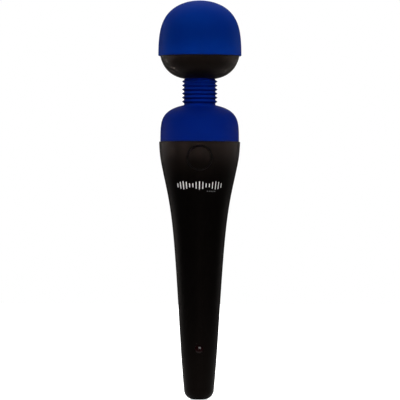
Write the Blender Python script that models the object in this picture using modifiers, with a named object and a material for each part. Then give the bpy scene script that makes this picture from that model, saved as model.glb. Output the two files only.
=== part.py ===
"""Palm-size wand massager, modelled as an assembly of separate parts.

Metres, +Z up. The origin is the centre of the handle's flat end, and the front of the
handle, with the button, faces -Y. The head bends on a spring inside a ribbed silicone neck,
a motor turns an off-centre weight inside the head, and a silicone cap pulls off upwards.
"""

import math

import bmesh
import bpy
import numpy as np
from mathutils import Vector

# Whole object
HEIGHT = 0.205
GAP = 0.0003  # clearance between neighbouring parts
TURN_STEPS = 28  # sides of a large turned part
SMALL_SIDES = 10  # sides of a screw or a plug

# Silicone cap and the two hard head shells
CAP_RADIUS = 0.02142
CAP_RIM_Z = 0.1765
CAP_WALL = 0.00095
CAP_CURVE_BASE_Z = 0.16815
CAP_POWERS = (4.38, 2.0)
BOWL_RADIUS = 0.02111
BOWL_CURVE_TOP_Z = 0.18637
BOWL_BOTTOM_Z = 0.16431
BOWL_POWERS = (2.86, 2.94)
BOWL_TOP_RADIUS = 0.01985
HEAD_WALL = 0.002
HEAD_SPLIT_Z = 0.180
NECK_HOLE_RADIUS = 0.0078

# Silicone shoulder and ribbed neck, one moulding
SHOULDER_RADIUS = 0.02022
SHOULDER_BASE_Z = 0.128
SHOULDER_TOP_Z = 0.15195
SHOULDER_POWERS = (5.6, 1.94)
SHOULDER_WALL = 0.0026
NECK_BORE = 0.0062
RIB_COUNT = 6
RIB_PITCH = 0.002066
RIB_FIRST_Z = 0.1530
RIB_TIP_RADIUS = 0.00894
RIB_ROOT_RADIUS = 0.00801
NECK_TOP_RADIUS = 0.00766
SEAM = 0.00035  # between the shoulder and the handle's mouth

# Handle shells
HANDLE_TOP_Z = 0.1324
HANDLE_WALL = 0.0016
HANDLE_OUTLINE = (  # radius, height, up the side from the rounded end
    (0.00773, 0.005),
    (0.00896, 0.020),
    (0.01056, 0.045),
    (0.01220, 0.070),
    (0.01378, 0.088),
    (0.01610, 0.104),
    (0.01904, 0.118),
    (0.02042, 0.126),
    (0.02081, 0.1313),
)
END_FLAT_RADIUS = 0.0032
END_WALL = 0.0024
SPLIT_GAP = 0.00015  # each half stops this far from the plane y = 0

# Power button: places along its own axis are depths under the handle's surface
BUTTON_Z = 0.1238
BUTTON_RADIUS = 0.0059
BUTTON_HOLE_RADIUS = 0.0066
BUTTON_PROUD = 0.0003
POCKET_DEPTH = 0.0026
POCKET_RADIUS = 0.0076
SWITCH_DEPTH = 0.0069
BOARD_DEPTH = 0.0099
BOARD_SCREW_X = 0.0076
BOARD_SCREW_Y = 0.0052

# Charge light and charging socket
LIGHT_Z = 0.0262
LIGHT_RECESS_RADIUS = 0.0022
LIGHT_RECESS_DEPTH = 0.0006
LIGHT_HOLE_RADIUS = 0.0018
LENS_RADIUS = 0.0015
SOCKET_HOLE_RADIUS = 0.0017

# Battery, and the screws that hold the shells together (x, z)
BATTERY_RADIUS = 0.00705
BATTERY_BOTTOM_Z = 0.054
BATTERY_LENGTH = 0.050
SHELL_SCREWS = ((-0.0132, 0.122), (0.0132, 0.122), (0.0, 0.044))
SCREW_HEAD_RADIUS = 0.0019
SCREW_SHANK_RADIUS = 0.0010
SCREW_PILOT_RADIUS = 0.0013
SCREW_RECESS_RADIUS = 0.0023

# Neck joints, spring and motor
PITCH_AXIS_Z = 0.155
ROLL_AXIS_Z = 0.1612
SPRING_RADIUS = 0.0044
SPRING_WIRE_RADIUS = 0.0007
SPRING_TURNS = 7
MOTOR_RADIUS = 0.0121
MOTOR_BOTTOM_Z = 0.1741
MOTOR_TOP_Z = 0.1894
SHAFT_RADIUS = 0.0010
HEAD_SCREW_CIRCLE = 0.0161
HEAD_SCREW_ANGLES = (90, 210, 330)

# Looks: colour, roughness, metallic
LOOKS = {
    "blue_silicone": ((0.008, 0.030, 0.150), 0.55, 0.0),
    "black_soft_touch": ((0.006, 0.005, 0.005), 0.50, 0.0),
    "black_rubber": ((0.010, 0.010, 0.010), 0.75, 0.0),
    "white_plastic": ((0.60, 0.60, 0.58), 0.50, 0.0),
    "red_lens": ((0.20, 0.010, 0.012), 0.15, 0.0),
    "steel": ((0.55, 0.56, 0.58), 0.30, 1.0),
    "brass": ((0.70, 0.50, 0.20), 0.30, 1.0),
    "nickel": ((0.65, 0.63, 0.60), 0.25, 1.0),
    "magnet": ((0.10, 0.10, 0.11), 0.60, 0.0),
    "copper": ((0.60, 0.25, 0.12), 0.35, 1.0),
    "battery_wrap": ((0.05, 0.25, 0.40), 0.35, 0.0),
    "circuit_board": ((0.010, 0.120, 0.050), 0.45, 0.0),
    "chip_black": ((0.015, 0.015, 0.015), 0.50, 0.0),
    "red_wire": ((0.50, 0.012, 0.012), 0.45, 0.0),
    "black_wire": ((0.012, 0.012, 0.012), 0.45, 0.0),
}


# Scene, collections and looks

def clear_scene():
    for obj in list(bpy.data.objects):
        bpy.data.objects.remove(obj)


def new_collection(name):
    collection = bpy.data.collections.new(name)
    bpy.context.scene.collection.children.link(collection)
    return collection


def make_looks():
    looks = {}
    for name, (colour, roughness, metallic) in LOOKS.items():
        look = bpy.data.materials.new(name)
        look.use_nodes = True
        shader = look.node_tree.nodes["Principled BSDF"]
        shader.inputs["Base Color"].default_value = (*colour, 1.0)
        shader.inputs["Roughness"].default_value = roughness
        shader.inputs["Metallic"].default_value = metallic
        looks[name] = look
    return looks


clear_scene()
PARTS = new_collection("wand_massager")
CUTTERS = new_collection("cutters")
MATERIALS = make_looks()


def add_object(name, data, look):
    """Put the data in the scene: as a part with a look, or as a cutter if it has none."""
    obj = bpy.data.objects.new(name, data)
    if look is None:
        CUTTERS.objects.link(obj)
        obj.hide_render = True
        obj.display_type = "WIRE"
    else:
        PARTS.objects.link(obj)
        data.materials.append(MATERIALS[look])
    return obj


def add_empty(name, location, tilt=0.0):
    empty = bpy.data.objects.new(name, None)
    empty.location = location
    empty.rotation_euler = (tilt, 0.0, 0.0)
    empty.empty_display_size = 0.01
    PARTS.objects.link(empty)
    return empty


def hang(parent, *pieces):
    """Parent the pieces without moving them from where they are in the world."""
    bpy.context.view_layer.update()
    for piece in pieces:
        piece.parent = parent
        piece.matrix_parent_inverse = parent.matrix_world.inverted()


def seat(parent, *pieces):
    """Parent the pieces, whose places are in the parent's own axes."""
    for piece in pieces:
        piece.parent = parent


# Basic shapes

def shade(mesh, angle=35):
    mesh.shade_smooth()
    mesh.set_sharp_from_angle(angle=math.radians(angle))


def turned(name, profile, look, steps=TURN_STEPS):
    """A closed profile of (radius, height), running down its outer side, turned about Z."""
    mesh = bpy.data.meshes.new(name)
    pairs = [(i, (i + 1) % len(profile)) for i in range(len(profile))]
    edges = [(i, j) for i, j in pairs if profile[i][0] > 0 or profile[j][0] > 0]
    mesh.from_pydata([(radius, 0.0, height) for radius, height in profile], edges, [])
    obj = add_object(name, mesh, look)
    screw = obj.modifiers.new("turn", "SCREW")
    screw.steps = steps
    screw.render_steps = steps
    screw.use_merge_vertices = True
    screw.merge_threshold = 0.00001
    screw.use_smooth_shade = True
    return obj


def box(name, low, high, look):
    low, high = Vector(low), Vector(high)
    shape = bmesh.new()
    bmesh.ops.create_cube(shape, size=1.0)
    bmesh.ops.scale(shape, vec=high - low, verts=shape.verts)
    mesh = bpy.data.meshes.new(name)
    shape.to_mesh(mesh)
    shape.free()
    obj = add_object(name, mesh, look)
    obj.location = (low + high) / 2
    return obj


def rod(name, radius, start, end, look, sides=20, end_radius=None):
    """A round bar from start to end, or a cone where end_radius is given."""
    start, end = Vector(start), Vector(end)
    shape = bmesh.new()
    bmesh.ops.create_cone(
        shape,
        cap_ends=True,
        segments=sides,
        radius1=radius,
        radius2=radius if end_radius is None else end_radius,
        depth=(end - start).length,
    )
    mesh = bpy.data.meshes.new(name)
    shape.to_mesh(mesh)
    shape.free()
    shade(mesh)
    obj = add_object(name, mesh, look)
    obj.location = (start + end) / 2
    obj.rotation_euler = (end - start).to_track_quat("Z", "Y").to_euler()
    return obj


def boolean(piece, other, operation):
    modifier = piece.modifiers.new(other.name, "BOOLEAN")
    modifier.operation = operation
    modifier.object = other
    return piece


def cut(piece, *cutters):
    for cutter in cutters:
        boolean(piece, cutter, "DIFFERENCE")
    return piece


def join(piece, *additions):
    for addition in additions:
        boolean(piece, addition, "UNION")
    return piece


def smooth(points, steps):
    """A smooth curve through the points, with this many steps between neighbours."""
    points = [Vector(point) for point in points]
    spans = [(b - a).length for a, b in zip(points, points[1:])]
    chords = [(b - a) / span for a, b, span in zip(points, points[1:], spans)]
    tangents = [chords[0]]
    for i in range(1, len(points) - 1):
        before, after = spans[i - 1], spans[i]
        tangents.append((chords[i - 1] * after + chords[i] * before) / (before + after))
    tangents.append(chords[-1])
    curve = []
    for i, span in enumerate(spans):
        for k in range(steps):
            t = k / steps
            rise = t * t * (3 - 2 * t)
            leave = t * (1 - t) ** 2 * span
            arrive = t * t * (t - 1) * span
            place = points[i] * (1 - rise) + points[i + 1] * rise
            curve.append(place + tangents[i] * leave + tangents[i + 1] * arrive)
    curve.append(points[-1])
    return curve


def wire(name, points, radius, look):
    """A round wire with filled ends, along a list of points."""
    curve = bpy.data.curves.new(name, "CURVE")
    curve.dimensions = "3D"
    curve.bevel_depth = radius
    curve.bevel_resolution = 1
    curve.use_fill_caps = True
    spline = curve.splines.new("POLY")
    spline.points.add(len(points) - 1)
    for spot, place in zip(spline.points, points):
        spot.co = (*place, 1.0)
    return add_object(name, curve, look)


# Outlines, as lists of (radius, height)

def dome(radius, base_z, top_z, powers, start_z, count):
    """Points from start_z to top_z on (height)**powers[0] + (radius)**powers[1] = 1."""
    height_power, radius_power = powers
    rise = (start_z - base_z) / (top_z - base_z)
    first = math.asin(rise ** (height_power / 2))
    points = []
    for i in range(count):
        angle = first + (math.pi / 2 - first) * i / (count - 1)
        up = math.sin(angle) ** (2 / height_power)
        out = max(math.cos(angle), 0.0) ** (2 / radius_power) if i < count - 1 else 0.0
        points.append((radius * out, base_z + (top_z - base_z) * up))
    return points


def inside(outline, depth):
    """The outline moved this far to its inner side, for one that runs upwards."""
    places = [Vector(point) for point in outline]
    moved = []
    for i, place in enumerate(places):
        along = places[min(i + 1, len(places) - 1)] - places[max(i - 1, 0)]
        along.normalize()
        shifted = place + Vector((-along.y, along.x)) * depth
        moved.append((max(shifted.x, 0.0) if place.x > 0 else 0.0, shifted.y))
    return moved


def above(outline, height):
    return [point for point in outline if point[1] > height]


def handle_outline(steps=2):
    """The handle's side from its flat end to its mouth."""
    first_radius, first_z = HANDLE_OUTLINE[0]
    corner = []
    for i in range(4):
        angle = math.radians(90 * i / 4)
        out = END_FLAT_RADIUS + (first_radius - END_FLAT_RADIUS) * math.sin(angle)
        corner.append((out, first_z * (1 - math.cos(angle))))
    side = [tuple(point) for point in smooth(HANDLE_OUTLINE, steps)]
    mouth_radius = HANDLE_OUTLINE[-1][0] - 0.0001
    mouth = [(mouth_radius, HANDLE_TOP_Z - 0.0003), (mouth_radius - 0.0003, HANDLE_TOP_Z)]
    return corner + side + mouth


def radius_at(outline, height):
    return float(np.interp(height, [z for _, z in outline], [r for r, _ in outline]))


def cap_outline(count=9):
    return dome(CAP_RADIUS, CAP_CURVE_BASE_Z, HEIGHT, CAP_POWERS, CAP_RIM_Z, count)


def shoulder_outline(count=9):
    start = HANDLE_TOP_Z + SEAM
    return dome(
        SHOULDER_RADIUS, SHOULDER_BASE_Z, SHOULDER_TOP_Z, SHOULDER_POWERS, start, count
    )


# Handle shells

def handle_blank(name, look):
    """The handle's outer form, solid."""
    profile = [(0.0, HANDLE_TOP_Z)] + handle_outline()[::-1] + [(0.0, 0.0)]
    return turned(name, profile, look)


def handle_cavity():
    """The hollow and the socket's hole, less the posts that the shell screws run in."""
    wall = above(inside(handle_outline(1), HANDLE_WALL), END_WALL + 0.001)
    mouth_z = HANDLE_TOP_Z + 0.002
    profile = [(0.0, mouth_z), (wall[-1][0], mouth_z)] + wall[::-1]
    profile += [(wall[0][0] - 0.001, END_WALL), (SOCKET_HOLE_RADIUS, END_WALL)]
    profile += [(SOCKET_HOLE_RADIUS, -0.002), (0.0, -0.002)]
    cavity = turned("handle_cavity", profile, None)
    cavity.rotation_euler.z = math.pi / TURN_STEPS  # so that its edges miss the blank's
    for i, (x, z) in enumerate(SHELL_SCREWS):
        post = rod(f"screw_post_{i}", 0.0027, (x, -0.03, z), (x, 0.03, z), None)
        if x:
            ear_slot = box(
                f"ear_slot_{i}", (x - 0.004, -0.0018, z - 0.004), (x + 0.004, 0.0018, z + 0.004), None
            )
            cut(post, ear_slot)
        cut(cavity, post)
    return cavity


def half_space(name, side):
    """A box that holds the half of the handle on this side of the parting line."""
    near, far = side * SPLIT_GAP, side * 0.05
    low, high = min(near, far), max(near, far)
    return box(name, (-0.05, low, -0.01), (0.05, high, 0.15), None)


def handle_half(name, side, cavity):
    shell = handle_blank(name, "black_soft_touch")
    cut(shell, cavity)
    boolean(shell, half_space(f"{name}_space", side), "INTERSECT")
    return shell


def shell_screw(number, x, z, rear_shell, front_shell):
    """A screw from the back, its hole and post, and the rubber plug over its head."""
    skin_y = math.sqrt(radius_at(handle_outline(), z) ** 2 - x * x)
    seat_y = skin_y - (0.0056 if x else 0.0048)
    tip_y = -0.0070 if x else -0.0055
    deep_y = tip_y - 0.0010
    recess = rod(
        f"recess_{number}", SCREW_RECESS_RADIUS, (x, seat_y, z), (x, skin_y + 0.005, z), None
    )
    passage = rod(
        f"passage_{number}", SCREW_PILOT_RADIUS, (x, -0.001, z), (x, seat_y + 0.001, z), None, 16
    )
    pilot = rod(
        f"pilot_{number}", SCREW_PILOT_RADIUS, (x, deep_y, z), (x, 0.001, z), None, SMALL_SIDES
    )
    cut(rear_shell, recess, passage)
    cut(front_shell, pilot)
    head_y = seat_y + GAP
    screw = rod(
        f"shell_screw_{number}",
        SCREW_SHANK_RADIUS,
        (x, tip_y, z),
        (x, head_y + 0.0005, z),
        "steel",
        SMALL_SIDES,
    )
    head = rod(
        f"screw_head_{number}",
        SCREW_HEAD_RADIUS,
        (x, head_y, z),
        (x, head_y + 0.0014, z),
        None,
        SMALL_SIDES,
    )
    join(screw, head)
    plug = rod(
        f"screw_plug_{number}",
        0.0020,
        (x, head_y + 0.0017, z),
        (x, skin_y + 0.002, z),
        "black_rubber",
        SMALL_SIDES,
    )
    return boolean(plug, handle_blank(f"plug_form_{number}", None), "INTERSECT")


def make_handle(button_frame):
    cavity = handle_cavity()
    front = handle_half("handle_front_shell", -1, cavity)
    rear = handle_half("handle_rear_shell", 1, cavity)
    hole = rod("button_hole", BUTTON_HOLE_RADIUS, (0, 0, -0.006), (0, 0, 0.004), None, 28)
    pocket = rod(
        "button_pocket", POCKET_RADIUS, (0, 0, -0.009), (0, 0, -POCKET_DEPTH), None, 28
    )
    seat(button_frame, hole, pocket)
    light_hole = rod(
        "light_hole", LIGHT_HOLE_RADIUS, (0, -0.012, LIGHT_Z), (0, -0.005, LIGHT_Z), None
    )
    recess_y = -radius_at(handle_outline(), LIGHT_Z) + LIGHT_RECESS_DEPTH
    light_recess = rod(
        "light_recess",
        LIGHT_RECESS_RADIUS,
        (0, -0.012, LIGHT_Z),
        (0, recess_y, LIGHT_Z),
        None,
    )
    cut(front, hole, pocket, light_hole, light_recess)
    for number, (x, z) in enumerate(SHELL_SCREWS, 1):
        shell_screw(number, x, z, rear, front)


# Button and control board, in the button's frame: +Z points out of the handle

def make_button(frame):
    stock = rod(
        "power_button", BUTTON_RADIUS, (0, 0, -0.0040), (0, 0, 0.003), "black_soft_touch", 28
    )
    grown = [(r + BUTTON_PROUD, z) for r, z in handle_outline()]
    profile = [(0.0, HANDLE_TOP_Z)] + grown[::-1] + [(0.0, 0.0)]
    boolean(stock, turned("button_form", profile, None), "INTERSECT")
    flange = rod("button_flange", 0.0070, (0, 0, -0.0046), (0, 0, -0.0038), None, 28)
    post = rod("button_post", 0.0018, (0, 0, -0.0056), (0, 0, -0.0044), None, 20)
    join(stock, flange, post)
    gasket = turned(
        "button_gasket",
        [(0.0073, -0.0029), (0.0073, -0.0035), (0.0062, -0.0035), (0.0062, -0.0029)],
        "black_rubber",
        steps=20,
    )
    seat(frame, stock, flange, post, gasket)


def make_switch(frame):
    body = box(
        "switch_body",
        (-0.003, -0.003, -BOARD_DEPTH + GAP),
        (0.003, 0.003, -SWITCH_DEPTH),
        "chip_black",
    )
    bore = rod("switch_bore", 0.0019, (0, 0, -0.0089), (0, 0, -0.005), None, 20)
    cut(body, bore)
    plunger = rod(
        "switch_plunger", 0.0016, (0, 0, -0.0080), (0, 0, -0.0059), "white_plastic", 20
    )
    seat(frame, body, bore, plunger)


def make_control_board(frame):
    front, back = -BOARD_DEPTH, -BOARD_DEPTH - 0.0010
    board = box(
        "control_board", (-0.010, -0.009, back), (0.010, 0.008, front), "circuit_board"
    )
    chip = box(
        "control_chip",
        (-0.0093, -0.0065, front + GAP),
        (-0.0043, -0.0015, front + 0.0012),
        "chip_black",
    )
    driver = box(
        "motor_driver",
        (0.0051, -0.0060, front + GAP),
        (0.0085, -0.0020, front + 0.0013),
        "chip_black",
    )
    connector = box(
        "board_connector", (-0.004, -0.007, -0.0142), (0.004, -0.003, back - GAP), "white_plastic"
    )
    seat(frame, board, chip, driver, connector)
    for number, x in enumerate((-BOARD_SCREW_X, BOARD_SCREW_X), 1):
        y = BOARD_SCREW_Y
        clearance = rod(f"board_hole_{number}", 0.0012, (x, y, -0.02), (x, y, 0), None, SMALL_SIDES)
        screw = rod(
            f"board_screw_{number}",
            0.0008,
            (x, y, -0.0150),
            (x, y, front + 0.0006),
            "steel",
            SMALL_SIDES,
        )
        head = rod(
            f"board_screw_head_{number}",
            0.0016,
            (x, y, front + GAP),
            (x, y, front + 0.0013),
            None,
            SMALL_SIDES,
        )
        cut(board, clearance)
        join(screw, head)
        seat(frame, clearance, screw, head)


# Inside the handle

def make_chassis(frame):
    """A trough round the back of the battery, with an upright plate that holds the board."""
    inner, outer, bottom, top = 0.0074, 0.0086, 0.0512, 0.1085
    profile = [(outer, top), (outer, bottom), (0.0, bottom)]
    profile += [(0.0, bottom + 0.0012), (inner, bottom + 0.0012), (inner, top)]
    chassis = turned("inner_chassis", profile, "white_plastic", steps=20)
    rear = box("chassis_space", (-0.02, 0.0006, 0.04), (0.02, 0.02, 0.12), None)
    boolean(chassis, rear, "INTERSECT")
    plate = box("chassis_plate", (-0.0092, 0.0008, 0.1070), (0.0092, 0.0024, 0.1345), None)
    join(chassis, plate)
    for side in (-1, 1):
        x, y = side * BOARD_SCREW_X, BOARD_SCREW_Y
        post = rod(f"board_post_{side}", 0.0019, (x, y, -0.0225), (x, y, -0.0112), None, SMALL_SIDES)
        pilot = rod(f"board_pilot_{side}", 0.0011, (x, y, -0.0160), (x, y, -0.0100), None, SMALL_SIDES)
        seat(frame, post, pilot)
        join(chassis, post)
        cut(chassis, pilot)


def make_battery():
    bottom, top = BATTERY_BOTTOM_Z, BATTERY_BOTTOM_Z + BATTERY_LENGTH
    turned(
        "battery_cell",
        [
            (0.0, top),
            (0.0028, top),
            (0.0028, top - 0.0010),
            (BATTERY_RADIUS - 0.0004, top - 0.0010),
            (BATTERY_RADIUS, top - 0.0014),
            (BATTERY_RADIUS, bottom + 0.0004),
            (BATTERY_RADIUS - 0.0004, bottom),
            (0.0, bottom),
        ],
        "battery_wrap",
        steps=20,
    )
    box("battery_tab_positive", (-0.002, -0.005, top + GAP), (0.002, 0.004, top + 0.0007), "nickel")
    box(
        "battery_tab_negative",
        (-0.002, -0.006, bottom - 0.0007),
        (0.002, 0.004, bottom - GAP),
        "nickel",
    )


def make_charging():
    """The charge light, its board, and the round socket in the end of the handle."""
    box("charge_board", (-0.0045, -0.0016, 0.0135), (0.0045, -0.0006, 0.0390), "circuit_board")
    rod("charge_led", 0.0013, (0, -0.0019, LIGHT_Z), (0, -0.0052, LIGHT_Z), "red_lens", 16)
    tip_y = -radius_at(handle_outline(), LIGHT_Z) + 0.0004
    lens = rod(
        "led_lens", LENS_RADIUS, (0, -0.0055, LIGHT_Z), (0, tip_y + 0.0004, LIGHT_Z), "red_lens", 20
    )
    tip = rod(
        "lens_tip",
        LENS_RADIUS,
        (0, tip_y + 0.0005, LIGHT_Z),
        (0, tip_y, LIGHT_Z),
        None,
        20,
        end_radius=0.0009,
    )
    join(lens, tip)
    turned(
        "charge_socket",
        [
            (0.0, 0.0118),
            (0.0030, 0.0118),
            (0.0030, END_WALL + GAP),
            (SOCKET_HOLE_RADIUS, END_WALL + GAP),
            (SOCKET_HOLE_RADIUS, 0.0105),
            (0.0, 0.0105),
        ],
        "chip_black",
        steps=20,
    )
    rod("socket_pin", 0.00045, (0, 0, 0.0032), (0, 0, 0.0102), "nickel", 12)


def button_clearance(name, frame):
    """A cutter that makes room round the button's inner parts."""
    room = rod(name, POCKET_RADIUS + 0.0005, (0, 0, -0.0095), (0, 0, -0.0019), None, 24)
    seat(frame, room)
    return room


def make_shoulder_core(frame):
    """The hard frame under the blue shoulder, held by its two ears between the shells."""
    skin = above(inside(shoulder_outline(), SHOULDER_WALL + GAP), 0.1345)
    plug_hole = 0.0056
    dome_part = [point for point in skin if point[0] > plug_hole + 0.001]
    profile = [(plug_hole, 0.1483)] + dome_part[::-1]
    profile += [(0.0171, 0.1340), (0.0171, 0.1260), (0.0156, 0.1260), (0.0156, 0.1355)]
    profile += [(0.0140, 0.1410), (0.0095, 0.1452), (plug_hole, 0.1452)]
    core = turned("shoulder_core", profile, "white_plastic")
    for i, (x, z) in enumerate(SHELL_SCREWS[:2]):
        side = math.copysign(1, x)
        low_x, high_x = sorted((side * 0.0104, side * 0.0166))
        ear = box(f"core_ear_{i}", (low_x, -0.0015, z - 0.003), (high_x, 0.0015, 0.1280), None)
        hole = rod(
            f"ear_hole_{i}", SCREW_PILOT_RADIUS, (x, -0.01, z), (x, 0.01, z), None, SMALL_SIDES
        )
        join(core, ear)
        cut(core, hole)
    cut(core, button_clearance("core_notch", frame))


# Neck

def neck_ribs():
    """The ribbed side of the neck, upwards from the shoulder."""
    profile = []
    for i in range(RIB_COUNT):
        middle = RIB_FIRST_Z + i * RIB_PITCH
        profile += [
            (RIB_ROOT_RADIUS, middle - RIB_PITCH / 2),
            (RIB_TIP_RADIUS - 0.0002, middle - RIB_PITCH / 5),
            (RIB_TIP_RADIUS - 0.0002, middle + RIB_PITCH / 5),
        ]
    top = RIB_FIRST_Z + (RIB_COUNT - 0.5) * RIB_PITCH
    return profile + [(NECK_TOP_RADIUS, top)]


def make_neck_sleeve(frame):
    """Shoulder skin and ribbed neck in one moulding, tucked into the handle and the head."""
    lip_radius, lip_bottom, lip_top = 0.0186, 0.1296, 0.1664
    shoulder = [p for p in shoulder_outline() if p[0] > RIB_ROOT_RADIUS]
    outer = [(lip_radius, lip_bottom), (lip_radius, shoulder[0][1])] + shoulder
    outer += neck_ribs() + [(0.0074, 0.1645), (0.0074, lip_top)]
    skin = [p for p in inside(shoulder_outline(), SHOULDER_WALL) if p[0] > NECK_BORE]
    inner = [(0.0175, lip_bottom), (0.0175, 0.1335)] + above(skin, 0.1345)
    inner += [(NECK_BORE, skin[-1][1]), (NECK_BORE, lip_top)]
    sleeve = turned("neck_sleeve", outer[::-1] + inner, "blue_silicone")
    cut(sleeve, button_clearance("sleeve_notch", frame))


def make_neck_spring():
    low, high = 0.1506, 0.1660
    per_turn = 9
    count = SPRING_TURNS * per_turn
    points = []
    for i in range(count + 1):
        angle = 2 * math.pi * i / per_turn
        height = low + (high - low) * i / count
        points.append((SPRING_RADIUS * math.cos(angle), SPRING_RADIUS * math.sin(angle), height))
    return wire("neck_spring", points, SPRING_WIRE_RADIUS, "steel")


def spring_plug(name, body_z, facing, flange_z, flange_radius, flange_end_z):
    """A bored plug: a stub inside the spring, a body, and a flange that is held fast."""
    bore, stub, body = 0.0020, 0.0032, 0.0053
    tip_z = body_z + facing * 0.0040
    profile = [(bore, tip_z), (stub, tip_z), (stub, body_z), (body, body_z)]
    profile += [(body, flange_z), (flange_radius, flange_z)]
    profile += [(flange_radius, flange_end_z), (bore, flange_end_z)]
    if facing < 0:
        profile.reverse()
    return turned(name, profile, "white_plastic", steps=20)


def make_leads():
    """Wires between the battery, the boards and the motor."""
    battery_top = BATTERY_BOTTOM_Z + BATTERY_LENGTH
    thin, thick = 0.00040, 0.00045
    routes = {
        "battery_lead_red": [
            (0.0010, -0.0020, battery_top + 0.0012),
            (0.0012, -0.0034, 0.1090),
            (0.0012, -0.0058, 0.1140),
            (0.0012, -0.0068, 0.1183),
        ],
        "battery_lead_black": [
            (0.0028, -0.0030, BATTERY_BOTTOM_Z - 0.0006),
            (0.0058, -0.0044, 0.0530),
            (0.0069, -0.0042, 0.0552),
            (0.0071, -0.0037, 0.0600),
            (0.0071, -0.0037, 0.0820),
            (0.0069, -0.0037, 0.1040),
            (0.0048, -0.0055, 0.1120),
            (0.0030, -0.0068, 0.1183),
        ],
        "charge_lead_red": [
            (-0.0020, 0.0002, 0.0375),
            (-0.0040, 0.0000, 0.0420),
            (-0.0062, -0.0022, 0.0480),
            (-0.0073, -0.0033, 0.0560),
            (-0.0073, -0.0033, 0.0800),
            (-0.0073, -0.0033, 0.1020),
            (-0.0050, -0.0055, 0.1120),
            (-0.0030, -0.0068, 0.1183),
        ],
        "charge_lead_black": [
            (-0.0006, 0.0002, 0.0375),
            (-0.0014, 0.0003, 0.0402),
            (-0.0037, -0.0015, 0.0428),
            (-0.0054, -0.0040, 0.0480),
            (-0.0059, -0.0054, 0.0560),
            (-0.0059, -0.0054, 0.0800),
            (-0.0059, -0.0054, 0.1020),
            (-0.0030, -0.0062, 0.1120),
            (-0.0010, -0.0068, 0.1183),
        ],
    }
    for name, route in routes.items():
        look = "red_wire" if name.endswith("red") else "black_wire"
        wire(name, smooth(route, 2), thin, look)
    motor_leads = []
    for name, side in (("motor_lead_red", 1), ("motor_lead_black", -1)):
        look = "red_wire" if side > 0 else "black_wire"
        x = side * 0.0008
        route = [
            (x, -0.0071, 0.1236),
            (x, -0.0060, 0.1280),
            (x, -0.0018, 0.1350),
            (x, 0.0000, 0.1420),
            (x, 0.0000, 0.1500),
            (x, 0.0000, 0.1580),
            (x, 0.0000, 0.1660),
            (x, 0.0000, 0.1735),
        ]
        motor_leads.append(wire(name, smooth(route, 2), thick, look))
    return motor_leads


# Head

def head_screw_places():
    for degrees in HEAD_SCREW_ANGLES:
        angle = math.radians(degrees)
        yield HEAD_SCREW_CIRCLE * math.cos(angle), HEAD_SCREW_CIRCLE * math.sin(angle)


def bowl_outline(count=9):
    """The lower shell's outside, upwards from the neck hole."""
    curve = dome(BOWL_RADIUS, -BOWL_CURVE_TOP_Z, -BOWL_BOTTOM_Z, BOWL_POWERS, -0.1758, count)
    curve = [(r, -z) for r, z in reversed(curve)]
    return [(NECK_HOLE_RADIUS, 0.1647)] + [p for p in curve if p[0] > 0.0088]


def make_lower_shell():
    outer = bowl_outline() + [(BOWL_TOP_RADIUS, 0.1762), (BOWL_TOP_RADIUS, HEAD_SPLIT_Z)]
    floor = [p for p in inside(bowl_outline(), HEAD_WALL) if p[0] > 0.0098]
    tube_radius, tube_top = 0.0092, 0.1720
    inner = [(NECK_HOLE_RADIUS, tube_top), (tube_radius, tube_top)]
    inner += [(tube_radius, floor[0][1])] + floor
    inner_radius = BOWL_TOP_RADIUS - HEAD_WALL
    inner += [(inner_radius, 0.1765), (inner_radius, HEAD_SPLIT_Z)]
    shell = turned("head_lower_shell", outer[::-1] + inner, "black_soft_touch")
    for i, (x, y) in enumerate(head_screw_places()):
        post = rod(f"bowl_post_{i}", 0.0022, (x, y, 0.1716), (x, y, 0.1797), None, SMALL_SIDES)
        pilot = rod(f"bowl_pilot_{i}", 0.0012, (x, y, 0.1728), (x, y, 0.1850), None, SMALL_SIDES)
        join(shell, post)
        cut(shell, pilot)
    return shell


def make_upper_shell():
    """The hard dome under the cap, with deep recesses for the three head screws."""
    outside = inside(cap_outline(), CAP_WALL + GAP + 0.00005)
    cavity = inside(cap_outline(), CAP_WALL + GAP + HEAD_WALL - 0.0002)
    bottom = HEAD_SPLIT_Z + GAP
    outer = [(outside[0][0], bottom)] + above(outside, bottom + 0.0005)
    inner = [(cavity[0][0], bottom)] + above(cavity, bottom + 0.0005)
    shell = turned("head_upper_shell", outer[::-1] + inner, "black_soft_touch")
    for i, (x, y) in enumerate(head_screw_places()):
        post = rod(f"dome_post_{i}", 0.0023, (x, y, bottom), (x, y, 0.1905), None, SMALL_SIDES)
        recess = rod(f"dome_recess_{i}", 0.0020, (x, y, 0.1850), (x, y, 0.2100), None, SMALL_SIDES)
        hole = rod(f"dome_hole_{i}", 0.0012, (x, y, 0.1790), (x, y, 0.1860), None, SMALL_SIDES)
        join(shell, post)
        cut(shell, recess, hole)
    return shell


def make_head_screws():
    screws = []
    for number, (x, y) in enumerate(head_screw_places(), 1):
        screw = rod(
            f"head_screw_{number}", 0.0009, (x, y, 0.1740), (x, y, 0.1858), "steel", 12
        )
        head = rod(
            f"head_screw_top_{number}", 0.0017, (x, y, 0.1853), (x, y, 0.1869), None, 12
        )
        screws.append(join(screw, head))
    return screws


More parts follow.
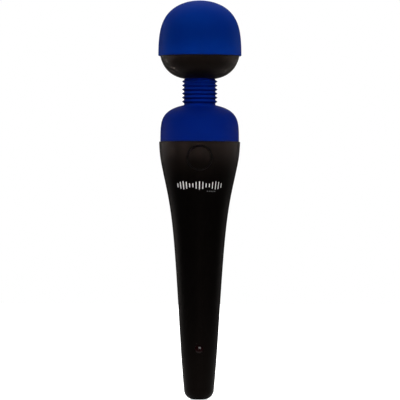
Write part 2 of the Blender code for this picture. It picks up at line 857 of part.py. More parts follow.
def make_motor_mounts():
    """The cradle that holds the motor in the lower shell, and the ring over the motor."""
    cup_inner, cup_outer, flange = 0.0125, 0.0133, 0.0174
    cradle = turned(
        "motor_cradle",
        [
            (cup_outer, 0.1840),
            (cup_outer, 0.1793),
            (flange, 0.1793),
            (flange, 0.1779),
            (cup_outer, 0.1779),
            (cup_outer, 0.1726),
            (0.0030, 0.1726),
            (0.0030, 0.1738),
            (cup_inner, 0.1738),
            (cup_inner, 0.1840),
        ],
        "white_plastic",
        steps=20,
    )
    for i, (x, y) in enumerate(head_screw_places()):
        cut(cradle, rod(f"cradle_notch_{i}", 0.0026, (x, y, 0.17), (x, y, 0.19), None, SMALL_SIDES))
    ring = turned(
        "motor_clamp_ring",
        [
            (cup_outer, 0.1910),
            (cup_outer, 0.1843),
            (cup_inner, 0.1843),
            (cup_inner, 0.1897),
            (0.0090, 0.1897),
            (0.0090, 0.1910),
        ],
        "white_plastic",
        steps=20,
    )
    return cradle, ring


def make_motor():
    """Can, end bell and magnets: the parts of the motor that stand still in the head."""
    bell_top = MOTOR_BOTTOM_Z + 0.0023
    bearing = 0.0014
    bell = turned(
        "motor_end_bell",
        [
            (MOTOR_RADIUS, bell_top),
            (MOTOR_RADIUS, MOTOR_BOTTOM_Z),
            (bearing, MOTOR_BOTTOM_Z),
            (bearing, bell_top),
        ],
        "white_plastic",
        steps=20,
    )
    wall = 0.0010
    can = turned(
        "motor_can",
        [
            (bearing, MOTOR_TOP_Z),
            (MOTOR_RADIUS - 0.0006, MOTOR_TOP_Z),
            (MOTOR_RADIUS, MOTOR_TOP_Z - 0.0006),
            (MOTOR_RADIUS, bell_top + GAP),
            (MOTOR_RADIUS - wall, bell_top + GAP),
            (MOTOR_RADIUS - wall, MOTOR_TOP_Z - wall),
            (bearing, MOTOR_TOP_Z - wall),
        ],
        "steel",
        steps=20,
    )
    pieces = [bell, can]
    for number, side in ((1, -1), (2, 1)):
        magnet = turned(
            f"motor_magnet_{number}",
            [(0.0108, 0.1878), (0.0108, 0.1780), (0.0092, 0.1780), (0.0092, 0.1878)],
            "magnet",
            steps=20,
        )
        low_x, high_x = sorted((side * 0.0035, side * 0.02))
        keep = box(f"magnet_space_{number}", (low_x, -0.02, 0.17), (high_x, 0.02, 0.20), None)
        pieces.append(boolean(magnet, keep, "INTERSECT"))
    return pieces


def make_rotor():
    """Shaft, armature and the off-centre weight that shakes the head."""
    shaft = rod("motor_shaft", SHAFT_RADIUS, (0, 0, 0.1752), (0, 0, 0.1990), "steel", 16)
    bore = SHAFT_RADIUS + GAP
    armature = turned(
        "motor_armature",
        [(0.0086, 0.1875), (0.0086, 0.1790), (bore, 0.1790), (bore, 0.1875)],
        "copper",
        steps=20,
    )
    weight = turned(
        "eccentric_weight",
        [(0.0105, 0.1983), (0.0105, 0.1923), (bore, 0.1923), (bore, 0.1983)],
        "brass",
        steps=20,
    )
    side_cut = box("weight_cut", (-0.02, 0.0001, 0.19), (0.02, 0.02, 0.20), None)
    hub_keep = rod("weight_hub", 0.0030, (0, 0, 0.18), (0, 0, 0.21), None, 24)
    cut(side_cut, hub_keep)
    cut(weight, side_cut)
    return shaft, armature, weight


def make_cap():
    outer = cap_outline()
    inner = inside(outer, CAP_WALL)
    rim = [(CAP_RADIUS - 0.0002, CAP_RIM_Z), (CAP_RADIUS, CAP_RIM_Z + 0.0002)]
    inner[0] = (inner[0][0], CAP_RIM_Z)
    profile = outer[:0:-1] + rim[::-1] + inner
    return turned("head_cap", profile, "blue_silicone")


# Assembly

def make_body():
    outline = handle_outline()
    rise = radius_at(outline, BUTTON_Z + 0.001) - radius_at(outline, BUTTON_Z - 0.001)
    tilt = math.atan2(rise, 0.002)
    skin_y = -radius_at(outline, BUTTON_Z)
    button_frame = add_empty("button_axis", (0, skin_y, BUTTON_Z), math.pi / 2 + tilt)
    make_handle(button_frame)
    make_button(button_frame)
    make_switch(button_frame)
    make_control_board(button_frame)
    make_chassis(button_frame)
    make_battery()
    make_charging()
    make_shoulder_core(button_frame)
    make_neck_sleeve(button_frame)
    spring_plug("spring_plug_lower", 0.1496, 1, 0.1448, 0.0080, 0.1420)


def make_head():
    pitch = add_empty("neck_pitch_axis", (0, 0, PITCH_AXIS_Z))
    roll = add_empty("neck_roll_axis", (0, 0, ROLL_AXIS_Z))
    motor_leads = make_leads()
    hang(pitch, roll, make_neck_spring(), *motor_leads)
    upper_plug = spring_plug("spring_plug_upper", 0.1670, -1, 0.1672, 0.0074, 0.1715)
    fixed = [upper_plug, make_lower_shell(), make_upper_shell()]
    fixed += [*make_head_screws(), *make_motor_mounts(), *make_motor()]
    hang(roll, *fixed, *make_rotor(), make_cap())


make_body()
make_head()
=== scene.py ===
"""Looks of the palm-size wand massager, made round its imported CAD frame.

Metres, +Z up. The front of the handle, with the button, faces -Y. Every shell that can be
seen is made again here as a fine mesh, and so are the spring and the leads that bend with
the neck. The other parts inside keep their CAD shapes.
"""

import math

import bmesh
import bpy
import numpy as np
from mathutils import Matrix, Vector


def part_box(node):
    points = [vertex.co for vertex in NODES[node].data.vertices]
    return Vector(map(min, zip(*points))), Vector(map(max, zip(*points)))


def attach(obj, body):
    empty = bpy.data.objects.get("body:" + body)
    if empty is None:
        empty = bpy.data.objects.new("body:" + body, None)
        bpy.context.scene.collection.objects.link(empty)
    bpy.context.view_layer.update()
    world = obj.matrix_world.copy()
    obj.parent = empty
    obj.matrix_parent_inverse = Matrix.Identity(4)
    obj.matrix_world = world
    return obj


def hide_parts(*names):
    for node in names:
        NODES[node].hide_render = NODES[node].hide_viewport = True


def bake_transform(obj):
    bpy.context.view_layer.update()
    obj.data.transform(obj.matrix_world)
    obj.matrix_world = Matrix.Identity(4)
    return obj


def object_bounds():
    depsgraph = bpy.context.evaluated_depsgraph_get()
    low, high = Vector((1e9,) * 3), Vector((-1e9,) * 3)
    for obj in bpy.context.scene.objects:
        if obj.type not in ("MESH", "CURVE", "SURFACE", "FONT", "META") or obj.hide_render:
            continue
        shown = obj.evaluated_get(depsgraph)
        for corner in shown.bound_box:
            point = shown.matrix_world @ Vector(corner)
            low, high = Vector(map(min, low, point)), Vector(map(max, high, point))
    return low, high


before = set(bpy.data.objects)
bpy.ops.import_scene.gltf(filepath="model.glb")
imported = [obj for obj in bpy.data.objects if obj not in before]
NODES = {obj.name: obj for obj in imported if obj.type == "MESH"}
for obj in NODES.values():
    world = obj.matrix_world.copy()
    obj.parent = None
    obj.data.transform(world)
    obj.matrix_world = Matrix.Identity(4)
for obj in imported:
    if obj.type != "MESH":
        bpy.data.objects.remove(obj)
CAD_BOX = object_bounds()

# Heights that the CAD parts give
TOP_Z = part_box("head_cap")[1].z
CAP_RIM_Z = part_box("head_cap")[0].z
HEAD_SPLIT_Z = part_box("head_lower_shell")[1].z
HANDLE_TOP_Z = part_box("handle_front_shell")[1].z
LIGHT_Z = (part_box("led_lens")[0].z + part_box("led_lens")[1].z) / 2

ON_AXIS = 1e-7  # a smaller radius counts as none

# Head
CAP_RADIUS = 0.02142
CAP_CURVE_BASE_Z = 0.16815
CAP_POWERS = (4.38, 2.0)
CAP_WALL = 0.00095
CAP_RIM_ROUND = 0.0004
CAP_RIM_SWELL = 0.00034
CAP_SWELL_HEIGHT = 0.0006  # the swell is full up to here over the rim, and gone at twice this
SHELL_UNDER_CAP = 0.0013
BOWL_RADIUS = 0.02111
BOWL_CURVE_TOP_Z = 0.18637
BOWL_BOTTOM_Z = 0.16431
BOWL_POWERS = (2.86, 2.94)
BOWL_TOP_RADIUS = 0.01985
BOWL_CURVE_START_Z = 0.1762
BOWL_BAND_Z = 0.1775  # the bowl is a plain cylinder from here up
BOWL_LIP_ROUND = 0.0003
BOWL_COLLAR_Z = 0.172  # top of the collar inside, round the neck hole
BOWL_COLLAR_WALL = 0.0014
HEAD_WALL = 0.0018
NECK_HOLE_RADIUS = 0.0078
HEAD_SCREW_CIRCLE = 0.0161
HEAD_SCREW_ANGLES = (90, 210, 330)
HEAD_SCREW_RECESS = 0.0020

# Shoulder and neck
SHOULDER_RADIUS = 0.02022
SHOULDER_BASE_Z = 0.128
SHOULDER_TOP_Z = 0.15195
SHOULDER_POWERS = (5.6, 1.94)
SHOULDER_WALL = 0.0026
SHOULDER_EDGE_ROUND = 0.00015
SHOULDER_TUCK = 0.0006  # the moulding reaches this far down inside the handle's mouth
SHOULDER_TUCK_RADII = (0.0175, 0.0186)
SEAM = 0.00012
PAINTED_SHADE_Z = 0.168  # the blue below this height, on the neck and shoulder, is darkened as painted shade; the cap is above it
NECK_BORE = 0.0062
NECK_TOP_RADIUS = 0.00766
NECK_TOP_Z = 0.1664
NECK_SPIGOT_RADIUS = 0.0074
NECK_SPIGOT_Z = 0.1650  # the neck narrows here, to enter the bowl
RIB_COUNT = 6
RIB_PITCH = 0.002066
RIB_FIRST_Z = 0.1530
RIB_TIP_RADIUS = 0.00902
RIB_ROOT_RADIUS = 0.00801
NECK_JOIN_RIB = 2.5  # the two halves of the neck meet in the valley after this many pitches
SPRING_RADIUS = 0.0044
SPRING_WIRE_RADIUS = 0.0007
SPRING_TURNS = 7
SPRING_ENDS_Z = (0.1506, 0.1660)
LEAD_RADIUS = 0.00045
LEAD_X = 0.0008
LEAD_START_Y = -0.0071
LEAD_START_Z = 0.1236
LEAD_STRAIGHT_Z = 0.1420  # above this height the leads run up the middle of the neck
LEAD_END_Z = 0.1735
WIRE_SIDES = 10
WIRE_GAP = 0.00004  # left between the two halves of a wire

# Handle: (height, radius) up the side, above a rounded end
HANDLE_SIDE = (
    (0.0046, 0.00770),
    (0.0200, 0.00896),
    (0.0450, 0.01056),
    (0.0700, 0.01220),
    (0.0880, 0.01378),
    (0.1040, 0.01610),
    (0.1180, 0.01904),
    (0.1260, 0.02042),
    (0.1320, 0.02082),
)
END_ROUND = 0.005
END_CENTRE = 0.00271
HANDLE_WALL = 0.0016
END_WALL = 0.0024
MOUTH_ROUND = 0.0003
MOUTH_LIP = 0.0008
SPLIT_GAP = 0.000002  # each half's outer edge stops this far from the plane y = 0
SPLIT_ROUND = 0.00016
SPLIT_SLANT = 0.0005  # the halves meet on a slope, so no light comes through between them
ROW_STEP = 0.0006  # height of a row of faces
HANDLE_COLUMNS = 72  # faces round each half

# Button, charge light, socket and screw plugs
BUTTON_Z = 0.1238
BUTTON_TILT = math.radians(8.78)
BUTTON_RADIUS = 0.0059
BUTTON_HOLE_RADIUS = 0.0066
LIGHT_RECESS_RADIUS = 0.0022
LIGHT_RECESS_DEPTH = 0.0006
LIGHT_HOLE_RADIUS = 0.0018
SOCKET_RADIUS = 0.0017
SHELL_SCREWS = ((-0.0132, 0.122), (0.0132, 0.122), (0.0, 0.044))
PLUG_HOLE_RADIUS = 0.0023
PLUG_RADIUS = 0.0021

# Print on the front of the handle
PRINT_WIDTH = 0.0244
PRINT_Z = 0.1099
BAR_COUNT = 15
BAR_HALF_WIDTH = 0.00031
BAR_THINNING = 0.4  # share of its width that the last bar loses
BAR_LOW = 0.0006
BAR_SWING = 0.0015
BAR_WAVE = 0.62  # turn of the wave from one bar to the next, in radians
BAR_WAVE_START = 0.35
DOT_COUNT = 5
DOTS_X = 0.0042
DOT_PITCH = 0.00105
DOTS_Z = 0.1069
DOT_HALF_WIDTH = 0.00024
DOT_HALF_HEIGHT = 0.00034

# Mesh
FINE_STEPS = 128  # sides of a turned shape
RIB_STEPS = 20  # points on each rib
SHARP_ANGLE = math.radians(35)

# Camera
CAMERA_DISTANCE = 1.645
CAMERA_X = 0.00028
CAMERA_DROP = 0.00006  # below the middle of the object
CAMERA_ROLL = math.radians(-0.16)
CAMERA_LENS = 288
CAMERA_SENSOR = 36

# Floor and world
FLOOR_RADIUS = 1.5
FLOOR_DROP = 0.0002  # below the object
FLOOR_COLOUR = (0.93, 0.93, 0.93, 1)
FLOOR_GLOW = 0.7
FLOOR_FADE = (0.08, 0.22)  # distances over which the floor's reflected light fades
FLOOR_REFLECTS = (0.78, 0.05)
SKY_HEIGHTS = (0.25, 0.85)  # the soft light grows between these heights of the sky
SKY_STRENGTHS = (0.02, 2.60)

# Lamp colours
WHITE = (1.0, 1.0, 1.0)
CREAM = (1.0, 0.93, 0.89)
WARM = (1.0, 0.86, 0.80)
COOL = (0.62, 0.96, 1.0)

# Soft rectangular lamps. For each: name, place, height it faces, width and height, power, colour
PANELS = (
    ("left_edge", (-0.80, 0.62, 0.20), 0.11, (0.35, 0.80), 2.1, CREAM),
    ("right_edge", (0.80, 0.62, 0.20), 0.11, (0.25, 0.70), 1.0, CREAM),
    ("front_light", (0.50, -0.85, 0.62), 0.12, (0.22, 0.22), 2.6, WHITE),
    ("lens_glint", (0.030, -1.145, 0.018), LIGHT_Z, (0.10, 0.10), 0.40, WHITE),
)

# Narrow beams from all round. For each: height lit, height, distance and radius of the lamps,
# reach of the beam, power of the lamps in front, at the sides and behind the sides, and colour
COLLAR_BEAM = (0.1330, 0.165, 1.1, 0.016, 0.0090, (112.0, 92.0, 8.0), WARM)
BUTTON_BEAM = (0.1270, 0.450, 1.1, 0.020, 0.0100, (26.0, 11.0, 0.0), WARM)
CAP_BEAM = (0.1915, 0.330, 1.1, 0.020, 0.0235, (11.2, 9.5, 4.0), COOL)
BOWL_BEAM = (0.1745, 0.020, 0.60, 0.012, 0.0070, (125.0, 84.0, 26.0), WARM)
UNDER_BOWL_BEAM = (0.1685, 0.020, 0.24, 0.006, 0.0070, (22.0, 14.0, 24.0), WARM)
NECK_BEAM = (0.1575, 0.420, 0.50, 0.006, 0.0065, (70.0, 44.0, 0.0), WARM)
BEAM_AZIMUTHS = ((-45, 0, 45), (-90, 90), (-130, 130))
BEAM_AIM_RADIUS = 0.010


# Materials

def node_tree(owner):
    """The nodes and the links of a material or a world."""
    owner.use_nodes = True
    return owner.node_tree.nodes, owner.node_tree.links


def ramp(nodes, links, source, dark, light):
    """Colours between dark and light, by a texture's value."""
    colours = nodes.new("ShaderNodeValToRGB")
    for stop, place, colour in zip(colours.color_ramp.elements, (0.35, 0.65), (dark, light)):
        stop.position = place
        stop.color = (*colour, 1)
    links.new(source, colours.inputs["Fac"])
    return colours.outputs["Color"]


def map_range(nodes, links, source, inputs, outputs):
    """A node that maps one range of numbers to another."""
    mapped = nodes.new("ShaderNodeMapRange")
    mapped.inputs["From Min"].default_value = inputs[0]
    mapped.inputs["From Max"].default_value = inputs[1]
    mapped.inputs["To Min"].default_value = outputs[0]
    mapped.inputs["To Max"].default_value = outputs[1]
    links.new(source, mapped.inputs["Value"])
    return mapped


def noise(nodes, links, place, size, detail=2.0):
    """Noise with features of this size, in metres."""
    texture = nodes.new("ShaderNodeTexNoise")
    texture.inputs["Scale"].default_value = 1 / size
    texture.inputs["Detail"].default_value = detail
    links.new(place, texture.inputs["Vector"])
    return texture.outputs["Fac"]


def stretched(nodes, links, place, scale):
    """The coordinates, stretched by a factor along each axis."""
    mapping = nodes.new("ShaderNodeMapping")
    mapping.inputs["Scale"].default_value = scale
    links.new(place, mapping.inputs["Vector"])
    return mapping.outputs["Vector"]


def bump(nodes, links, height, depth):
    """A normal from a height texture, whose full swing is depth metres."""
    relief = nodes.new("ShaderNodeBump")
    relief.inputs["Strength"].default_value = 1.0
    relief.inputs["Distance"].default_value = depth
    links.new(height, relief.inputs["Height"])
    return relief.outputs["Normal"]


def piece_place(nodes):
    """The coordinates of the shaded point, in the piece's own axes."""
    return nodes.new("ShaderNodeTexCoord").outputs["Object"]


def piece_height(nodes, links):
    """The height of the shaded point, in the piece's own axes."""
    parts = nodes.new("ShaderNodeSeparateXYZ")
    links.new(piece_place(nodes), parts.inputs["Vector"])
    return parts.outputs["Z"]


def recolour(made, factor, colour, blend="MIX"):
    """Blend a colour over the material's own, as far as the factor says."""
    nodes, links = node_tree(made)
    shader = nodes["Principled BSDF"]
    plain = shader.inputs["Base Color"].links[0].from_socket
    mixed = nodes.new("ShaderNodeMix")
    mixed.data_type = "RGBA"
    mixed.blend_type = blend
    mixed.inputs["B"].default_value = (*colour, 1)
    links.new(factor, mixed.inputs["Factor"])
    links.new(plain, mixed.inputs["A"])
    links.new(mixed.outputs["Result"], shader.inputs["Base Color"])


def material(name, settings, dark, light, patch, roughness, grain, depth, scale=(1, 1, 1)):
    """A surface with patches of colour, uneven gloss and a fine grain, from object coordinates."""
    made = bpy.data.materials.new(name)
    nodes, links = node_tree(made)
    shader = nodes["Principled BSDF"]
    for socket, value in settings.items():
        shader.inputs[socket].default_value = value
    place = piece_place(nodes)
    if scale != (1, 1, 1):
        place = stretched(nodes, links, place, scale)
    patches = noise(nodes, links, place, patch)
    links.new(ramp(nodes, links, patches, dark, light), shader.inputs["Base Color"])
    gloss = noise(nodes, links, place, patch / 3, 4.0)
    uneven = map_range(nodes, links, gloss, (0.3, 0.7), roughness)
    links.new(uneven.outputs["Result"], shader.inputs["Roughness"])
    fine = noise(nodes, links, place, grain, 3.0)
    links.new(bump(nodes, links, fine, depth), shader.inputs["Normal"])
    return made


def soft_touch_black():
    return material(
        "soft_touch_black", {"Specular IOR Level": 0.056, "Specular Tint": (1.0, 0.77, 0.70, 1)},
        dark=(0.0004, 0.0003, 0.0002), light=(0.0007, 0.0005, 0.0004), patch=0.009,
        roughness=(0.38, 0.46), grain=0.00022, depth=0.000006,
    )


def blue_silicone():
    """The cap's blue, darkened below the head as painted shade on the neck and shoulder."""
    made = material(
        "blue_silicone", {"Specular IOR Level": 0.012, "Specular Tint": (0.35, 0.90, 1.0, 1)},
        dark=(0.0001, 0.0115, 0.118), light=(0.0001, 0.0135, 0.128), patch=0.011,
        roughness=(0.44, 0.52), grain=0.00018, depth=0.000005,
    )
    nodes, links = node_tree(made)
    # Painted shade: the blue is multiplied darker below the head, on the neck and shoulder
    below = nodes.new("ShaderNodeMath")
    below.operation = "LESS_THAN"
    below.inputs[1].default_value = PAINTED_SHADE_Z
    links.new(piece_height(nodes, links), below.inputs[0])
    recolour(made, below.outputs["Value"], (0.9, 0.44, 0.68), "MULTIPLY")
    return made


def black_rubber():
    return material(
        "black_rubber", {"Specular IOR Level": 0.2},
        dark=(0.0020, 0.0019, 0.0018), light=(0.0035, 0.0033, 0.0031), patch=0.002,
        roughness=(0.70, 0.85), grain=0.00015, depth=0.00001,
    )


def white_plastic():
    return material(
        "white_plastic", {},
        dark=(0.52, 0.52, 0.49), light=(0.60, 0.60, 0.57), patch=0.006,
        roughness=(0.42, 0.55), grain=0.00025, depth=0.000006,
    )


def steel():
    return material(
        "steel", {"Metallic": 1.0},
        dark=(0.48, 0.49, 0.51), light=(0.60, 0.61, 0.63), patch=0.001,
        roughness=(0.22, 0.38), grain=0.00008, depth=0.000002, scale=(1, 1, 9),
    )


def brass():
    return material(
        "brass", {"Metallic": 1.0},
        dark=(0.60, 0.41, 0.15), light=(0.74, 0.54, 0.23), patch=0.001,
        roughness=(0.22, 0.36), grain=0.00008, depth=0.000003, scale=(1, 1, 8),
    )


def copper_winding():
    """Enamelled wire, wound in fine turns along the axis."""
    made = material(
        "copper_winding", {"Metallic": 1.0},
        dark=(0.50, 0.17, 0.07), light=(0.68, 0.29, 0.13), patch=0.0012,
        roughness=(0.22, 0.34), grain=0.0001, depth=0.000002,
    )
    nodes, links = node_tree(made)
    turns = nodes.new("ShaderNodeTexWave")
    turns.bands_direction = "Z"
    turns.inputs["Scale"].default_value = 900
    links.new(piece_place(nodes), turns.inputs["Vector"])
    relief = bump(nodes, links, turns.outputs["Fac"], 0.00005)
    links.new(relief, nodes["Principled BSDF"].inputs["Normal"])
    return made


def nickel():
    return material(
        "nickel", {"Metallic": 1.0},
        dark=(0.58, 0.56, 0.52), light=(0.68, 0.66, 0.62), patch=0.0008,
        roughness=(0.14, 0.26), grain=0.0001, depth=0.000001,
    )


def magnet():
    return material(
        "magnet", {},
        dark=(0.035, 0.035, 0.038), light=(0.075, 0.075, 0.080), patch=0.0004,
        roughness=(0.55, 0.75), grain=0.00012, depth=0.00001,
    )


def battery_wrap():
    """Blue shrink film with a pale band round the positive end."""
    made = material(
        "battery_wrap", {"Coat Weight": 0.4, "Coat Roughness": 0.12},
        dark=(0.020, 0.13, 0.25), light=(0.026, 0.16, 0.30), patch=0.004,
        roughness=(0.25, 0.35), grain=0.0006, depth=0.000008,
    )
    nodes, links = node_tree(made)
    low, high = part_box("battery_cell")
    band = nodes.new("ShaderNodeMath")
    band.operation = "COMPARE"
    band.inputs[1].default_value = low.z + 0.86 * (high.z - low.z)
    band.inputs[2].default_value = 0.0018
    links.new(piece_height(nodes, links), band.inputs[0])
    recolour(made, band.outputs["Value"], (0.62, 0.64, 0.66))
    return made


def circuit_board():
    """Green solder mask over a pattern of straight copper tracks."""
    made = material(
        "circuit_board", {"Coat Weight": 0.3, "Coat Roughness": 0.15},
        dark=(0.006, 0.075, 0.030), light=(0.008, 0.095, 0.040), patch=0.003,
        roughness=(0.30, 0.42), grain=0.0002, depth=0.000004,
    )
    nodes, links = node_tree(made)
    tracks = nodes.new("ShaderNodeTexBrick")
    tracks.inputs["Color1"].default_value = (0, 0, 0, 1)
    tracks.inputs["Color2"].default_value = (0, 0, 0, 1)
    tracks.inputs["Mortar"].default_value = (1, 1, 1, 1)
    tracks.inputs["Scale"].default_value = 260
    tracks.inputs["Mortar Size"].default_value = 0.03
    flat = stretched(nodes, links, piece_place(nodes), (1, 0, 1))
    links.new(flat, tracks.inputs["Vector"])
    recolour(made, tracks.outputs["Color"], (0.03, 0.17, 0.06))
    return made


def chip_black():
    return material(
        "chip_black", {},
        dark=(0.010, 0.010, 0.010), light=(0.016, 0.016, 0.016), patch=0.001,
        roughness=(0.45, 0.60), grain=0.00008, depth=0.000006,
    )


def red_lens():
    return material(
        "red_lens", {"Specular IOR Level": 0.17},
        dark=(0.004, 0.0001, 0.0002), light=(0.007, 0.0001, 0.0003), patch=0.0012,
        roughness=(0.08, 0.12), grain=0.0006, depth=0.000002,
    )


def red_wire():
    return material(
        "red_wire", {},
        dark=(0.42, 0.008, 0.008), light=(0.55, 0.014, 0.012), patch=0.002,
        roughness=(0.35, 0.50), grain=0.0003, depth=0.000004,
    )


def black_wire():
    return material(
        "black_wire", {},
        dark=(0.009, 0.009, 0.009), light=(0.014, 0.014, 0.014), patch=0.002,
        roughness=(0.35, 0.50), grain=0.0003, depth=0.000004,
    )


def white_print():
    """Screen-printed ink, a little thin in places."""
    return material(
        "white_print", {"Specular IOR Level": 0.2},
        dark=(0.80, 0.80, 0.80), light=(0.93, 0.93, 0.93), patch=0.0004,
        roughness=(0.55, 0.70), grain=0.0001, depth=0.000003,
    )


def grey_print():
    return material(
        "grey_print", {"Specular IOR Level": 0.2},
        dark=(0.10, 0.10, 0.10), light=(0.15, 0.15, 0.15), patch=0.0004,
        roughness=(0.55, 0.70), grain=0.0001, depth=0.000003,
    )


MAKERS = (
    soft_touch_black, blue_silicone, black_rubber, white_plastic, steel, brass, copper_winding,
    nickel, magnet, battery_wrap, circuit_board, chip_black, red_lens, red_wire, black_wire,
    white_print, grey_print,
)
LOOKS = {maker.__name__: maker() for maker in MAKERS}


def finish_cad_nodes():
    """Give each CAD node the fine material of its own slot."""
    for node in NODES.values():
        for holder in node.material_slots:
            holder.material = LOOKS[holder.material.name.split(".")[0]]


# Mesh helpers

def add_piece(name, points, faces, look, body, replaces=()):
    """A closed mesh that rides on a body. With body None, it is left unattached."""
    mesh = bpy.data.meshes.new(name)
    mesh.from_pydata([tuple(point) for point in points], [], faces)
    shape = bmesh.new()
    shape.from_mesh(mesh)
    bmesh.ops.recalc_face_normals(shape, faces=shape.faces)
    shape.to_mesh(mesh)
    shape.free()
    mesh.shade_smooth()
    mesh.set_sharp_from_angle(angle=SHARP_ANGLE)
    mesh.materials.append(LOOKS[look])
    piece = bpy.data.objects.new(name, mesh)
    bpy.context.scene.collection.objects.link(piece)
    if body is not None:
        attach(piece, body)
    if replaces:
        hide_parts(*replaces)
    return piece


def revolve(profile, steps=FINE_STEPS, place=Matrix.Identity(4)):
    """Points and faces of an outline of (radius, height) turned about Z, then set in place.

    An outline with both ends on the axis gives a dome; any other is closed into a ring.
    """
    points, faces, rings = [], [], []
    for radius, height in profile:
        count = 1 if radius < ON_AXIS else steps
        rings.append([len(points) + i % count for i in range(steps)])
        for i in range(count):
            angle = 2 * math.pi * i / steps
            spot = Vector((radius * math.sin(angle), -radius * math.cos(angle), height))
            points.append(place @ spot)
    pairs = list(zip(rings, rings[1:]))
    if profile[0][0] > ON_AXIS:
        pairs.append((rings[-1], rings[0]))
    for lower, upper in pairs:
        for i in range(steps):
            j = (i + 1) % steps
            corners = [lower[i], lower[j], upper[j], upper[i]]
            face = [c for n, c in enumerate(corners) if c != corners[n - 1]]
            if len(face) > 2:
                faces.append(face)
    return points, faces


def arc(centre, radius, start, end, count):
    """Points on a circle in an outline, with angles in degrees from the outward direction."""
    angles = np.radians(np.linspace(start, end, count))
    return [(centre[0] + radius * math.cos(a), centre[1] + radius * math.sin(a)) for a in angles]


def shell_curve(radius, base_z, tip_z, powers, start_z, end_radius, count):
    """An outline on (height)**powers[0] + (radius)**powers[1] = 1, from start_z to end_radius."""
    height_power, radius_power = powers
    rise = (start_z - base_z) / (tip_z - base_z)
    first = math.asin(rise ** (height_power / 2))
    last = math.acos((end_radius / radius) ** (radius_power / 2))
    points = []
    for angle in np.linspace(first, last, count):
        up = math.sin(angle) ** (2 / height_power)
        out = max(math.cos(angle), 0.0) ** (2 / radius_power)
        points.append((radius * out, base_z + (tip_z - base_z) * up))
    return points


def offset(outline, depth):
    """The outline moved this far to its left, as it runs; points on the axis stay on it."""
    moved = []
    last = len(outline) - 1
    for i, (radius, height) in enumerate(outline):
        if radius < ON_AXIS:
            moved.append((radius, height - depth))
            continue
        before, after = outline[max(i - 1, 0)], outline[min(i + 1, last)]
        along = Vector((after[0] - before[0], after[1] - before[1])).normalized()
        moved.append((radius - along.y * depth, height + along.x * depth))
    return moved


def natural_spline(knots):
    """The radius as a smooth function of height, through knots of (height, radius)."""
    x, y = np.array(knots).T
    span = np.diff(x)
    count = len(x)
    matrix = np.eye(count)
    wanted = np.zeros(count)
    for i in range(1, count - 1):
        matrix[i, i - 1:i + 2] = span[i - 1], 2 * (span[i - 1] + span[i]), span[i]
        wanted[i] = 6 * ((y[i + 1] - y[i]) / span[i] - (y[i] - y[i - 1]) / span[i - 1])
    bend = np.linalg.solve(matrix, wanted)

    def radius(height):
        i = min(max(int(np.searchsorted(x, height)) - 1, 0), count - 2)
        left, right, width = x[i + 1] - height, height - x[i], span[i]
        curved = (bend[i] * left**3 + bend[i + 1] * right**3) / (6 * width)
        start = (y[i] / width - bend[i] * width / 6) * left
        end = (y[i + 1] / width - bend[i + 1] * width / 6) * right
        return curved + start + end

    return radius


side_radius = natural_spline(HANDLE_SIDE)


# Holes in the handle, each with axes of its own: x across, y up, z out of the surface

class Hole:
    """Where a hole's axis meets the handle, and its outline from the surface inwards."""

    def __init__(self, x, z, facing, tilt, radius, rounding, reach, steps=()):
        self.across = Vector((1, 0, 0))
        self.out = Vector((0, facing * math.cos(tilt), -math.sin(tilt)))
        self.up = Vector((0, facing * math.sin(tilt), math.cos(tilt)))
        self.centre = Vector((x, facing * math.sqrt(side_radius(z) ** 2 - x * x), z))
        self.radius, self.rounding, self.reach, self.steps = radius, rounding, reach, steps

    def on_plane(self, x, y, depth):
        """A point at this depth under the plane through the hole's centre."""
        return self.centre + self.across * x + self.up * y - self.out * depth

    def on_skin(self, x, y, inset=0.0):
        """The point of the handle's skin, or of a surface inset from it, over (x, y)."""
        point = self.on_plane(x, y, inset)
        for _ in range(5):
            wanted = side_radius(point.z) - inset
            miss = math.hypot(point.x, point.y) - wanted
            slope = (point.x * self.out.x + point.y * self.out.y) / math.hypot(point.x, point.y)
            point = point - self.out * (miss / slope)
        return point

    def matrix(self):
        """The hole's own axes as a transform, with its centre as the origin."""
        axes = Matrix((self.across, self.up, self.out)).transposed().to_4x4()
        return Matrix.Translation(self.centre) @ axes


BUTTON = Hole(0, BUTTON_Z, -1, BUTTON_TILT, BUTTON_HOLE_RADIUS, rounding=0.00025, reach=0.0088)
LIGHT = Hole(
    0, LIGHT_Z, -1, 0, LIGHT_RECESS_RADIUS, rounding=0.00025, reach=0.0034,
    steps=((LIGHT_RECESS_RADIUS, LIGHT_RECESS_DEPTH), (LIGHT_HOLE_RADIUS, LIGHT_RECESS_DEPTH)),
)
PLUGS = [Hole(x, z, 1, 0, PLUG_HOLE_RADIUS, rounding=0.00015, reach=0.0036) for x, z in SHELL_SCREWS]


# Handle

